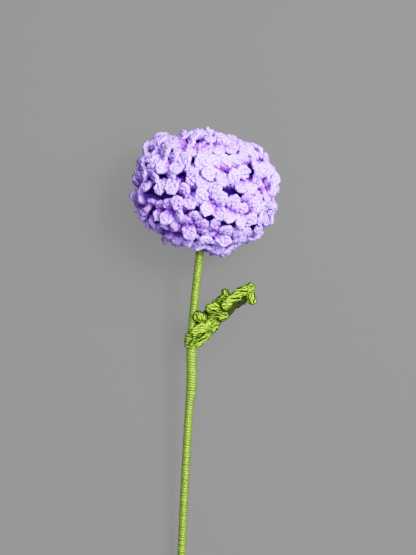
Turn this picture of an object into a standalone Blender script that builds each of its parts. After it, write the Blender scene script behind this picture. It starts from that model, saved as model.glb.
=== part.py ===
# Crocheted dahlia: a round head of lavender chain loops on a yarn-wrapped wire stem with one
# crocheted leaf. It lies down: the head on its flattened back, the cut end of the stem on the floor.
# Metres, +Z up, +Y along the flower towards the head.
import math
import random

import bmesh
import bpy
from mathutils import Matrix, Vector

# overall layout, in the flower's own plane: u to the right, v towards the head, w up
HEAD_CENTRE = Vector((0.0005, 0.1362, 0.0))
HEAD_RADIUS = 0.0434          # across, to the tips of the loops
HEAD_HALF_HEIGHT = 0.0378     # along its own axis
HEAD_LEAN = math.radians(7.5)   # the head's axis leans to the right
RING_LEAN = math.radians(12.0)  # the rings of loops lean a little more
HEAD_HEIGHT = 0.0414          # head's centre above the floor
STEM_END_V = -0.177           # cut end of the stem
FLOWER_X = 0.0010             # puts the middle of the whole flower over the origin
FLOWER_Y = 0.0011

# petal loops
LOOP_DEPTH = 0.0130           # from the core out to the tips
LOOP_SINK = 0.0032            # root below the core's surface
PAIR_WIDTH = 0.0104           # the loops stand in pairs, side by side
LOOP_THICK = 0.0054
RING_COUNT = 11
PAIR_PITCH = 0.0130           # along a ring, at the tips
SEED = 27

# stem
WIRE_RADIUS = 0.0010
WRAP_RADIUS = 0.00255
WRAP_TOP_V = 0.1115           # the wrap ends inside the head
WIRE_TOP_V = 0.1290
FIT = 0.0003                  # clearance between touching pieces

# leaf
LEAF_WIRE_RADIUS = 0.00042
LEAF_WIRE_SIDE = 0.00235      # its offset from the main wire under the wrap
BIND_TOP_V = 0.0465
BIND_LOW_V = 0.0095
BIND_BULGE = 0.00125

STEM_TILT = math.asin((HEAD_HEIGHT - WRAP_RADIUS) / (HEAD_CENTRE.y - STEM_END_V))
FLOOR_NORMAL = Vector((0.0, math.sin(STEM_TILT), math.cos(STEM_TILT)))


def material(name, colour, roughness, metallic=0.0):
    mat = bpy.data.materials.new(name)
    mat.use_nodes = True
    shader = mat.node_tree.nodes["Principled BSDF"]
    shader.inputs["Base Color"].default_value = (*colour, 1.0)
    shader.inputs["Roughness"].default_value = roughness
    shader.inputs["Metallic"].default_value = metallic
    mat.diffuse_color = (*colour, 1.0)
    return mat


def mesh_object(name, bm, mat=None, smooth=True):
    bmesh.ops.recalc_face_normals(bm, faces=bm.faces)
    mesh = bpy.data.meshes.new(name)
    bm.to_mesh(mesh)
    bm.free()
    obj = bpy.data.objects.new(name, mesh)
    bpy.context.scene.collection.objects.link(obj)
    if mat:
        mesh.materials.append(mat)
    if smooth:
        mesh.shade_smooth()
        mesh.set_sharp_from_angle(angle=math.radians(50))
    return obj


def skin(bm, rings, close_start=True, close_end=True):
    """Joins rings of points, each with the same count, into one closed skin."""
    loops = [[bm.verts.new(p) for p in ring] for ring in rings]
    count = len(loops[0])
    for low, high in zip(loops, loops[1:]):
        for i in range(count):
            j = (i + 1) % count
            bm.faces.new((low[i], low[j], high[j], high[i]))
    if close_start:
        bm.faces.new(list(reversed(loops[0])))
    if close_end:
        bm.faces.new(loops[-1])
    return loops


def catmull(points, samples):
    """Smooth curve through the given points, evenly sampled in each span."""
    pts = [points[0] * 2 - points[1]] + list(points) + [points[-1] * 2 - points[-2]]
    out = []
    for k in range(len(points) - 1):
        p0, p1, p2, p3 = pts[k:k + 4]
        for s in range(samples):
            t = s / samples
            out.append(0.5 * (2 * p1 + (p2 - p0) * t + (2 * p0 - 5 * p1 + 4 * p2 - p3) * t * t
                              + (3 * p1 - p0 - 3 * p2 + p3) * t ** 3))
    out.append(points[-1].copy())
    return out


def remove(obj):
    mesh = obj.data
    bpy.data.objects.remove(obj)
    bpy.data.meshes.remove(mesh)


def apply_modifiers(obj):
    """Bakes the modifiers of an object into its mesh."""
    deps = bpy.context.evaluated_depsgraph_get()
    baked = bpy.data.meshes.new_from_object(obj.evaluated_get(deps))
    old = obj.data
    obj.modifiers.clear()
    obj.data = baked
    baked.name = obj.name
    bpy.data.meshes.remove(old)


def boolean(obj, operation, other=None, collection=None, solver="EXACT"):
    mod = obj.modifiers.new(operation.lower(), "BOOLEAN")
    mod.operation = operation
    mod.solver = solver
    if collection:
        mod.operand_type = "COLLECTION"
        mod.collection = collection
    else:
        mod.object = other
    apply_modifiers(obj)


def floor_height(p):
    """Height of a point of the flower's own frame above the floor."""
    return HEAD_HEIGHT + (p - HEAD_CENTRE).dot(FLOOR_NORMAL)


def settle(p):
    """Loops that would reach below the floor flatten against it."""
    h = floor_height(p)
    soft = 0.0011
    pressed = soft * math.log(1 + math.exp(min((h - 0.0006) / soft, 40.0)))
    return p + FLOOR_NORMAL * (max(pressed, 0.0) - h) if h < 0.012 else p


# ---------------------------------------------------------------- stem line

STEM_POINTS = [(-0.0175, -0.1800), (-0.0156, -0.1350), (-0.0138, -0.0950), (-0.0120, -0.0550),
               (-0.0099, -0.0150), (-0.0078, 0.0200), (-0.0076, 0.0440), (-0.0054, 0.0700),
               (-0.0026, 0.0960), (-0.0004, 0.1180), (0.0004, 0.1290)]


def stem_line(samples=3):
    return catmull([Vector((u, v, 0.0)) for u, v in STEM_POINTS], samples)


def stem_at(v):
    """Point on the stem's centre line at height v."""
    line = stem_line(8)
    for a, b in zip(line, line[1:]):
        if a.y <= v <= b.y:
            return a.lerp(b, (v - a.y) / (b.y - a.y))
    return line[0] if v < line[0].y else line[-1]


def cut_line(line, low, high):
    inner = [p for p in line if low + 0.002 < p.y < high - 0.002]
    return [stem_at(low)] + inner + [stem_at(high)]


def bulge_at(v):
    """Extra radius on the right, where the leaf's wire is bound in."""
    rise = min(max((v - BIND_LOW_V) / 0.0065, 0.0), 1.0)
    fall = min(max((BIND_TOP_V + 0.004 - v) / 0.004, 0.0), 1.0)
    s = min(rise, fall)
    return BIND_BULGE * s * s * (3 - 2 * s)


def tube_rings(line, radius, sides, bulge=None, phase=0.0):
    rings = []
    for i, p in enumerate(line):
        ahead = line[min(i + 1, len(line) - 1)] - line[max(i - 1, 0)]
        ahead.normalize()
        side = Vector((ahead.y, -ahead.x, 0.0))
        front = Vector((0.0, 0.0, 1.0))
        extra = bulge(p.y) if bulge else 0.0
        ring = []
        for k in range(sides):
            angle = 2 * math.pi * (k + phase) / sides
            reach = radius + extra * max(math.cos(angle), 0.0) ** 1.5
            ring.append(p + side * (math.cos(angle) * reach) + front * (math.sin(angle) * radius))
        rings.append(ring)
    return rings


def tube_along(name, points, radius, sides, mat=None):
    """Round bar along a bent line in space, its section square to the line."""
    bm = bmesh.new()
    rings = []
    across = None
    for i, p in enumerate(points):
        ahead = (points[min(i + 1, len(points) - 1)] - points[max(i - 1, 0)]).normalized()
        if across is None:
            across = ahead.orthogonal()
        across = (across - ahead * across.dot(ahead)).normalized()
        up = ahead.cross(across)
        rings.append([p + (across * math.cos(2 * math.pi * k / sides)
                           + up * math.sin(2 * math.pi * k / sides)) * radius for k in range(sides)])
    skin(bm, rings)
    return mesh_object(name, bm, mat)


# ---------------------------------------------------------------- bloom

def ring_frame():
    axis = Vector((math.sin(RING_LEAN), math.cos(RING_LEAN), 0.0))
    side = Vector((math.cos(RING_LEAN), -math.sin(RING_LEAN), 0.0))
    return axis, side, Vector((0.0, 0.0, 1.0))


def head_reach(direction, inset=0.0):
    """Distance from the head's centre to its outer ellipsoid, or to one set in by inset."""
    axis = Vector((math.sin(HEAD_LEAN), math.cos(HEAD_LEAN), 0.0))
    along = direction.dot(axis)
    across2 = max(1.0 - along * along, 0.0)
    a, c = HEAD_RADIUS - inset, HEAD_HALF_HEIGHT - inset
    return 1.0 / math.sqrt(along * along / (c * c) + across2 / (a * a))


def pair_places():
    """Polar and round angles of every pair of loops: rings from the top of the head to the stem."""
    rng = random.Random(SEED)
    places = []
    for ring in range(RING_COUNT):
        polar = math.radians(8.0 + (150.0 - 8.0) * ring / (RING_COUNT - 1))
        radius = HEAD_RADIUS * math.sin(polar)
        count = max(3, round(2 * math.pi * radius / PAIR_PITCH))
        phase = rng.random()
        for k in range(count):
            places.append((polar + rng.uniform(-0.045, 0.045),
                           2 * math.pi * (k + phase + rng.uniform(-0.12, 0.12)) / count,
                           [rng.uniform(-1, 1) for _ in range(4)]))
    return places


def petal(bm, polar, turn, chance):
    """Two neighbouring chain loops as one thick tab: root in the core, blunt round tip."""
    size, roll, sway, drift = chance
    axis, side, front = ring_frame()
    outward = side * math.cos(turn) + front * math.sin(turn)
    direction = axis * math.cos(polar) + outward * math.sin(polar)
    down = (direction * direction.dot(axis) - axis).normalized()
    along_ring = direction.cross(down).normalized()
    core = HEAD_CENTRE + direction * head_reach(direction, LOOP_DEPTH)
    # loops near the top stand up, the others lean over the ring below them
    lean = math.radians(10 + 28 * math.sin(polar) ** 2 + 15 * sway)
    tip_dir = (direction * math.cos(lean) + down * math.sin(lean) + along_ring * 0.28 * drift).normalized()
    length = LOOP_DEPTH * (1.0 + 0.12 * size) / math.cos(lean)
    width = PAIR_WIDTH * (1.0 + 0.08 * size)
    across = (along_ring * math.cos(0.85 * roll) + direction.cross(along_ring) * math.sin(0.85 * roll))
    root = core - direction * LOOP_SINK
    rings = []
    for s, w, t in ((0.0, 0.60, 0.75), (0.55, 0.96, 0.95), (0.86, 0.94, 1.0)):
        # the loop starts out square to the core and bends over
        middle = root.lerp(core + direction * length * 0.35, min(s / 0.55, 1.0))
        if s > 0.55:
            middle = core + direction * length * 0.35 + tip_dir * (length * (s - 0.35))
        ahead = direction if s < 0.3 else tip_dir
        flat = (across - ahead * across.dot(ahead)).normalized()
        thick = ahead.cross(flat)
        rings.append([middle + flat * (width * 0.5 * w * cx) + thick * (LOOP_THICK * 0.5 * t * cy)
                      for cx, cy in ((-1, 0), (-0.55, 1), (0.55, 1), (1, 0), (0.55, -1), (-0.55, -1))])
    tip = core + direction * length * 0.35 + tip_dir * (length * 0.65)
    flat = (across - tip_dir * across.dot(tip_dir)).normalized()
    rings = [[settle(p) for p in ring] for ring in rings]
    loops = skin(bm, rings, close_end=False)
    ends = [bm.verts.new(settle(tip + flat * (width * 0.27 * k))) for k in (-1, 1)]
    top = loops[-1]
    for tri in ((top[0], top[1], ends[0]), (top[1], top[2], ends[1], ends[0]), (top[2], top[3], ends[1]),
                (top[3], top[4], ends[1]), (top[4], top[5], ends[0], ends[1]), (top[5], top[0], ends[0])):
        bm.faces.new(tri)


def build_bloom(mat):
    bm = bmesh.new()
    bmesh.ops.create_icosphere(bm, subdivisions=2, radius=1.0)
    for vert in bm.verts:
        direction = vert.co.normalized()
        vert.co = settle(HEAD_CENTRE + direction * head_reach(direction, LOOP_DEPTH - 0.0008))
    core = mesh_object("bloom", bm, mat)

    petals = bpy.data.collections.new("petals")
    bpy.context.scene.collection.children.link(petals)
    for i, place in enumerate(pair_places()):
        bm = bmesh.new()
        petal(bm, *place)
        obj = mesh_object(f"petal_{i:03d}", bm)
        bpy.context.scene.collection.objects.unlink(obj)
        petals.objects.link(obj)
    boolean(core, "UNION", collection=petals)
    for obj in list(petals.objects):
        remove(obj)
    bpy.data.collections.remove(petals)

    # blind hole for the stem: wide for the wrap, narrow above it for the bare wire
    for low, high, radius in ((0.0930, WRAP_TOP_V + FIT, WRAP_RADIUS + FIT),
                              (WRAP_TOP_V - 0.002, WIRE_TOP_V + FIT, WIRE_RADIUS + FIT)):
        line = [stem_at(low + (high - low) * k / 4) for k in range(5)]
        bm = bmesh.new()
        skin(bm, tube_rings(line, radius, 12))
        cutter = mesh_object("stem_hole", bm)
        boolean(core, "DIFFERENCE", other=cutter)
        remove(cutter)
    return core


# ---------------------------------------------------------------- stem

def build_stem_wire(mat):
    line = cut_line(stem_line(2), STEM_END_V + 0.0002, WIRE_TOP_V)
    return tube_along("stem_wire", line, WIRE_RADIUS, 8, mat)


def build_stem_wrap(mat, leaf_wire_cutter):
    """Hollow sleeve of wound yarn round the wire, with the leaf's wire let into its right side."""
    line = cut_line(stem_line(2), STEM_END_V, WRAP_TOP_V)
    line += [stem_at(v) for v in (0.0105, 0.0130, 0.0160, 0.0440, 0.0465, 0.0485, 0.0508)]
    line.sort(key=lambda p: p.y)
    line = [line[0]] + [b for a, b in zip(line, line[1:]) if b.y - a.y > 0.0008]
    outer = tube_rings(line, WRAP_RADIUS, 12, bulge_at)
    inner = tube_rings(line, WIRE_RADIUS + FIT, 12)
    bm = bmesh.new()
    skin_out = skin(bm, outer, False, False)
    skin_in = skin(bm, inner, False, False)
    for out, hole in ((skin_out[0], skin_in[0]), (skin_out[-1], skin_in[-1])):
        for i in range(12):
            j = (i + 1) % 12
            bm.faces.new((out[i], out[j], hole[j], hole[i]))
    wrap = mesh_object("stem_wrap", bm, mat)
    boolean(wrap, "DIFFERENCE", other=leaf_wire_cutter)
    return wrap


# ---------------------------------------------------------------- leaf

LEAF_MIDRIB = [(-0.0060, 0.0490, 0.0012), (-0.0010, 0.0560, 0.0030), (0.0065, 0.0625, 0.0032),
               (0.0145, 0.0680, 0.0026), (0.0215, 0.0728, 0.0016), (0.0275, 0.0762, -0.0008)]

# puffs either side of the midrib: centre u, v, w, half length, half width, half thickness, heading
LEAF_PUFFS = [
    (-0.0026, 0.0632, 0.0032, 0.0044, 0.0038, 0.0028, 60), (0.0046, 0.0672, 0.0032, 0.0054, 0.0042, 0.0030, 25),
    (0.0096, 0.0718, 0.0018, 0.0056, 0.0032, 0.0026, 30), (0.0162, 0.0712, 0.0032, 0.0068, 0.0038, 0.0030, 35),
    (0.0240, 0.0766, 0.0016, 0.0068, 0.0036, 0.0030, 32), (0.0282, 0.0742, -0.0008, 0.0056, 0.0034, 0.0030, -75),
    (0.0190, 0.0690, -0.0018, 0.0070, 0.0028, 0.0022, 33), (0.0104, 0.0630, 0.0026, 0.0050, 0.0038, 0.0028, 10),
    (0.0050, 0.0572, 0.0036, 0.0056, 0.0042, 0.0028, 30), (-0.0020, 0.0534, 0.0040, 0.0068, 0.0042, 0.0028, 32),
    (-0.0026, 0.0484, 0.0030, 0.0072, 0.0030, 0.0026, 32), (-0.0064, 0.0584, 0.0032, 0.0046, 0.0032, 0.0024, 70),
]


def leaf_wire_points():
    under = [stem_at(v) + Vector((LEAF_WIRE_SIDE, 0.0, 0.0)) for v in (0.0150, 0.0220, 0.0300, 0.0380)]
    out = [Vector(p) for p in LEAF_MIDRIB[1:5]]
    turn = [stem_at(0.0445) + Vector((0.0027, 0.0, 0.0003)), Vector((-0.0040, 0.0502, 0.0014))]
    return under + turn + out


def leaf_wire_line():
    return catmull(leaf_wire_points(), 2)


def build_leaf(mat, leaf_wire_cutter):
    # flat middle of the leaf, along the midrib
    midrib = catmull([Vector(p) for p in LEAF_MIDRIB], 2)
    bm = bmesh.new()
    rings = []
    for i, p in enumerate(midrib):
        ahead = (midrib[min(i + 1, len(midrib) - 1)] - midrib[max(i - 1, 0)]).normalized()
        front = Vector((0.0, 0.0, 1.0))
        across = front.cross(ahead).normalized()
        thick = ahead.cross(across)
        taper = 0.72 + 0.28 * math.sin(math.pi * (i + 1) / (len(midrib) + 1))
        rings.append([p + across * (0.0052 * taper * cx) + thick * (0.0019 * cz)
                      for cx, cz in ((-1, 0), (-0.6, 0.9), (0.6, 0.9), (1, 0), (0.6, -0.9), (-0.6, -0.9))])
    skin(bm, rings)
    leaf = mesh_object("leaf", bm, mat)

    parts = bpy.data.collections.new("puffs")
    bpy.context.scene.collection.children.link(parts)
    for i, (u, v, w, half_long, half_wide, half_thick, heading) in enumerate(LEAF_PUFFS):
        bm = bmesh.new()
        bmesh.ops.create_icosphere(bm, subdivisions=2, radius=1.0)
        turn = Matrix.Rotation(math.radians(heading), 4, "Z")
        shape = Matrix.Translation((u, v, w)) @ turn @ Matrix.Diagonal((half_long, half_wide, half_thick, 1.0))
        bmesh.ops.transform(bm, matrix=shape, verts=bm.verts)
        obj = mesh_object(f"puff_{i:02d}", bm)
        bpy.context.scene.collection.objects.unlink(obj)
        parts.objects.link(obj)
    # collar of yarn round the stem that ties the leaf on
    line = [stem_at(v) for v in (0.0438, 0.0455, 0.0500, 0.0545, 0.0560)]
    bm = bmesh.new()
    rings = tube_rings(line, 0.0042, 14)
    for ring, centre in ((rings[0], line[0]), (rings[-1], line[-1])):
        ring[:] = [centre.lerp(p, 0.9) for p in ring]
    skin(bm, rings)
    obj = mesh_object("collar", bm)
    bpy.context.scene.collection.objects.unlink(obj)
    parts.objects.link(obj)
    boolean(leaf, "UNION", collection=parts)
    for obj in list(parts.objects):
        remove(obj)
    bpy.data.collections.remove(parts)

    # way through for the wrapped stem, and a narrow channel for the leaf's wire
    line = [stem_at(v) for v in (0.0380, 0.0440, 0.0465, 0.0485, 0.0508, 0.0560, 0.0640, 0.0700)]
    bm = bmesh.new()
    skin(bm, tube_rings(line, WRAP_RADIUS + FIT, 12, bulge_at))
    stem_way = mesh_object("stem_way", bm)
    boolean(leaf, "DIFFERENCE", other=stem_way)
    remove(stem_way)
    boolean(leaf, "DIFFERENCE", other=leaf_wire_cutter)
    return leaf


def main():
    for obj in list(bpy.data.objects):
        bpy.data.objects.remove(obj)

    lavender = material("lavender_cotton", (0.60, 0.47, 0.90), 0.9)
    green = material("green_cotton", (0.30, 0.45, 0.08), 0.85)
    leaf_green = material("leaf_cotton", (0.27, 0.42, 0.06), 0.9)
    steel = material("steel_wire", (0.45, 0.45, 0.46), 0.35, 1.0)

    flower = bpy.data.objects.new("flower", None)
    bpy.context.scene.collection.objects.link(flower)

    line = leaf_wire_line()
    ends = [line[0] + (line[0] - line[1]).normalized() * FIT, line[-1] + (line[-1] - line[-2]).normalized() * FIT]
    cutter = tube_along("leaf_wire_way", [ends[0]] + line[1:-1] + [ends[1]], LEAF_WIRE_RADIUS + FIT, 8)
    pieces = [
        build_bloom(lavender),
        build_stem_wire(steel),
        build_stem_wrap(green, cutter),
        build_leaf(leaf_green, cutter),
        tube_along("leaf_wire", line, LEAF_WIRE_RADIUS, 6, steel),
    ]
    remove(cutter)
    for piece in pieces:
        piece.parent = flower

    # lay the flower down: the stem slopes from the head to its cut end on the floor
    flower.rotation_euler = (STEM_TILT, 0.0, 0.0)
    rise = (Matrix.Rotation(STEM_TILT, 3, "X") @ HEAD_CENTRE).z
    flower.location = (FLOWER_X, FLOWER_Y, HEAD_HEIGHT - rise)


main()
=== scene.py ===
# Crocheted dahlia: yarn loops, wound stem and crocheted leaf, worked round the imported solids.
import bpy
import math
import numpy as np
from mathutils import Matrix, Vector


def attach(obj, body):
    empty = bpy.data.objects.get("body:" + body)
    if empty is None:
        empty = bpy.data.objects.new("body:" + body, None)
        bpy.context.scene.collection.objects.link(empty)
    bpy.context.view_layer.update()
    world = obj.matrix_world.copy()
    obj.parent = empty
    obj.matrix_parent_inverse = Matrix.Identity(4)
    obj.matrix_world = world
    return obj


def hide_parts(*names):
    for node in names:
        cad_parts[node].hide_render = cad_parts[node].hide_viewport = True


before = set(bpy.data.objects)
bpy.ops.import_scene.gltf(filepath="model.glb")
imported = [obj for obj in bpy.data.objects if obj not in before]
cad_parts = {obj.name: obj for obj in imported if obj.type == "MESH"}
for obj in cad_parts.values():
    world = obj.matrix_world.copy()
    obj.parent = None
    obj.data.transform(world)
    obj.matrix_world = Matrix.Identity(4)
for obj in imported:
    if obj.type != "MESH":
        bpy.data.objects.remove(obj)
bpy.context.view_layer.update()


# the flower's own plane: u right, v towards the head, w up; it lies tilted on its head and stem end
flower = {
    "headCentre": (0.0005, 0.1362, 0.0),
    "headRadius": 0.0434,
    "headHalfHeight": 0.0378,
    "headLean": math.radians(7.5),
    "ringLean": math.radians(12.0),
    "headRise": 0.0414,
    "stemEnd": -0.177,
    "wrapRadius": 0.00255,
    "place": (0.0010, 0.0011),
}
stemTilt = math.asin((flower["headRise"] - flower["wrapRadius"]) / (flower["headCentre"][1] - flower["stemEnd"]))
layDown = np.array(Matrix.Rotation(stemTilt, 3, "X"))
headCentre = np.array(flower["headCentre"])
lift = np.array([*flower["place"], flower["headRise"] - (layDown @ headCentre)[2]])
floorNormal = layDown.T @ np.array([0.0, 0.0, 1.0])


def toFloor(points):
    # place in the room = points turned by the tilt, then lifted
    return points @ layDown.T + lift


def unit(v):
    # v / |v|, never divided by zero
    return v / np.maximum(np.linalg.norm(v, axis=-1, keepdims=True), 1e-12)


def dot(a, b):
    # sum of products over the last axis, which is kept
    return np.sum(a * b, axis=-1, keepdims=True)


def smoothLine(points, samples):
    # Catmull-Rom: each span is the cubic through its two ends with slopes from the neighbours
    pts = np.asarray(points, float)
    pts = np.vstack([2 * pts[0] - pts[1], pts, 2 * pts[-1] - pts[-2]])
    p0, p1, p2, p3 = pts[:-3, None], pts[1:-2, None], pts[2:-1, None], pts[3:, None]
    t = (np.arange(samples) / samples)[None, :, None]
    line = 0.5 * (2 * p1 + (p2 - p0) * t + (2 * p0 - 5 * p1 + 4 * p2 - p3) * t**2
                  + (3 * p1 - p0 - 3 * p2 + p3) * t**3)
    return np.vstack([line.reshape(-1, pts.shape[1]), pts[-2:-1]])


def runAlong(points):
    # distance along each line of points from its start: the running sum of the gaps between neighbours
    gaps = np.linalg.norm(np.diff(points, axis=-2), axis=-1)
    return np.concatenate([0 * gaps[..., :1], np.cumsum(gaps, axis=-1)], axis=-1)


def alongLine(line, where):
    # points, at the given distances, on a line of points
    run = runAlong(line)
    return np.stack([np.interp(where, run, line[:, i]) for i in range(line.shape[1])], axis=-1)


# yarn: a round section carried along a path of centres
capRise = 0.5    # how far the low cone on a yarn's end stands out, as a share of the yarn's radius


def yarnTubes(centres, normals, radius, sides, squeeze=1.0):
    # ring point = centre + r (cos a * normal * squeeze + sin a * binormal); centres are (yarns, steps, 3)
    ahead = unit(np.gradient(centres, axis=1))
    out = unit(normals - ahead * dot(normals, ahead))
    across = np.cross(ahead, out)
    angle = 2 * np.pi * np.arange(sides) / sides
    radius = np.broadcast_to(np.asarray(radius, float), centres.shape[:2])[..., None, None]
    ring = np.cos(angle)[:, None] * out[:, :, None] * squeeze + np.sin(angle)[:, None] * across[:, :, None]
    return centres[:, :, None] + radius * ring


def yarnMesh(name, rings, values):
    # quads between neighbouring rings, and a low cone over each end; values go with yarns, steps and perhaps sides
    yarns, steps, sides, _ = rings.shape
    ends = np.stack([rings[:, 0].mean(1), rings[:, -1].mean(1)], axis=1)
    push = unit(rings[:, [0, -1]].mean(2) - rings[:, [1, -2]].mean(2))
    size = np.linalg.norm(rings[:, [0, -1], 0] - ends, axis=-1, keepdims=True)
    ends = ends + push * size * capRise
    verts = np.concatenate([rings.reshape(-1, 3), ends.reshape(-1, 3)])
    first = (np.arange(yarns) * steps * sides)[:, None, None]
    step = (np.arange(steps - 1) * sides)[None, :, None]
    k = np.arange(sides)[None, None, :]
    low, high = first + step + k, first + step + (k + 1) % sides
    quads = np.stack([low, high, high + sides, low + sides], axis=-1).reshape(-1, 4)
    capBase = yarns * steps * sides + 2 * np.arange(yarns)[:, None]
    k = np.arange(sides)[None, :]
    firstRow, lastRow = first[:, 0] + k, first[:, 0] + (steps - 1) * sides + k
    lowPoint = np.broadcast_to(capBase, firstRow.shape)
    capLow = np.stack([firstRow, lowPoint, np.roll(firstRow, -1, 1)], axis=-1).reshape(-1, 3)
    capHigh = np.stack([lastRow, np.roll(lastRow, -1, 1), lowPoint + 1], axis=-1).reshape(-1, 3)
    loops = np.concatenate([quads.ravel(), capLow.ravel(), capHigh.ravel()])
    counts = np.concatenate([np.full(len(quads), 4), np.full(len(capLow) + len(capHigh), 3)])
    mesh = bpy.data.meshes.new(name)
    mesh.vertices.add(len(verts))
    mesh.vertices.foreach_set("co", verts.astype(np.float32).ravel())
    mesh.loops.add(len(loops))
    mesh.loops.foreach_set("vertex_index", loops.astype(np.int32))
    mesh.polygons.add(len(counts))
    mesh.polygons.foreach_set("loop_start", (np.cumsum(counts) - counts).astype(np.int32))
    mesh.polygons.foreach_set("loop_total", counts.astype(np.int32))
    mesh.update(calc_edges=True)
    mesh.shade_smooth()
    # UV: U once round the yarn, V the distance along it in millimetres
    run = runAlong(rings.mean(2)) * 1000
    u0 = np.broadcast_to((np.arange(sides) / sides)[None, None], (yarns, steps - 1, sides))
    u1 = u0 + 1 / sides
    v0 = np.broadcast_to(run[:, :-1, None], u0.shape)
    v1 = np.broadcast_to(run[:, 1:, None], u0.shape)
    corners = [np.stack(corner, axis=-1) for corner in ((u0, v0), (u1, v0), (u1, v1), (u0, v1))]
    uvQuads = np.stack(corners, axis=-2)
    uvCaps = np.zeros((len(capLow) + len(capHigh), 3, 2))
    layer = mesh.uv_layers.new(name="yarn")
    layer.data.foreach_set("uv", np.concatenate([uvQuads.ravel(), uvCaps.ravel()]).astype(np.float32))
    for label, value in values.items():
        ringValue = np.broadcast_to(value if value.ndim == 3 else value[:, :, None], (yarns, steps, sides))
        endValue = np.stack([ringValue[:, 0].mean(-1), ringValue[:, -1].mean(-1)], axis=1)
        attribute = mesh.attributes.new(label, "FLOAT", "POINT")
        both = np.concatenate([ringValue.ravel(), endValue.ravel()])
        attribute.data.foreach_set("value", both.astype(np.float32))
    obj = bpy.data.objects.new(name, mesh)
    bpy.context.scene.collection.objects.link(obj)
    return obj


def chainPath(stitches, stepsPerStitch):
    # one yarn worked as a chain: forward along the left leg, over, back along the right leg, and on
    # along = t + reach * sin^2(t/2), across = -sin t, depth = -cos 2t, each to be scaled
    t = np.linspace(0, 2 * np.pi * stitches, stitches * stepsPerStitch + 1)
    return t / (2 * np.pi), np.sin(t / 2) ** 2, -np.sin(t), -np.cos(2 * t)


# colours and materials
def linear(hexCode):
    # sRGB hex to linear light
    c = np.array([int(hexCode[i:i + 2], 16) for i in (1, 3, 5)]) / 255
    return (*np.where(c <= 0.04045, c / 12.92, ((c + 0.055) / 1.055) ** 2.4), 1.0)


def addNode(tree, kind, settings=None, links=None):
    # a node of this kind; settings name its sockets or its own properties, links say what feeds which socket
    node = tree.nodes.new(kind)
    for name, value in (settings or {}).items():
        if isinstance(name, int) or name in node.inputs:
            node.inputs[name].default_value = value
        else:
            setattr(node, name, value)
    for name, source in (links or {}).items():
        tree.links.new(source, node.inputs[name])
    return node


def newMaterial(name):
    # an empty node material and its tree
    mat = bpy.data.materials.new(name)
    mat.use_nodes = True
    mat.node_tree.nodes.clear()
    return mat, mat.node_tree


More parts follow.
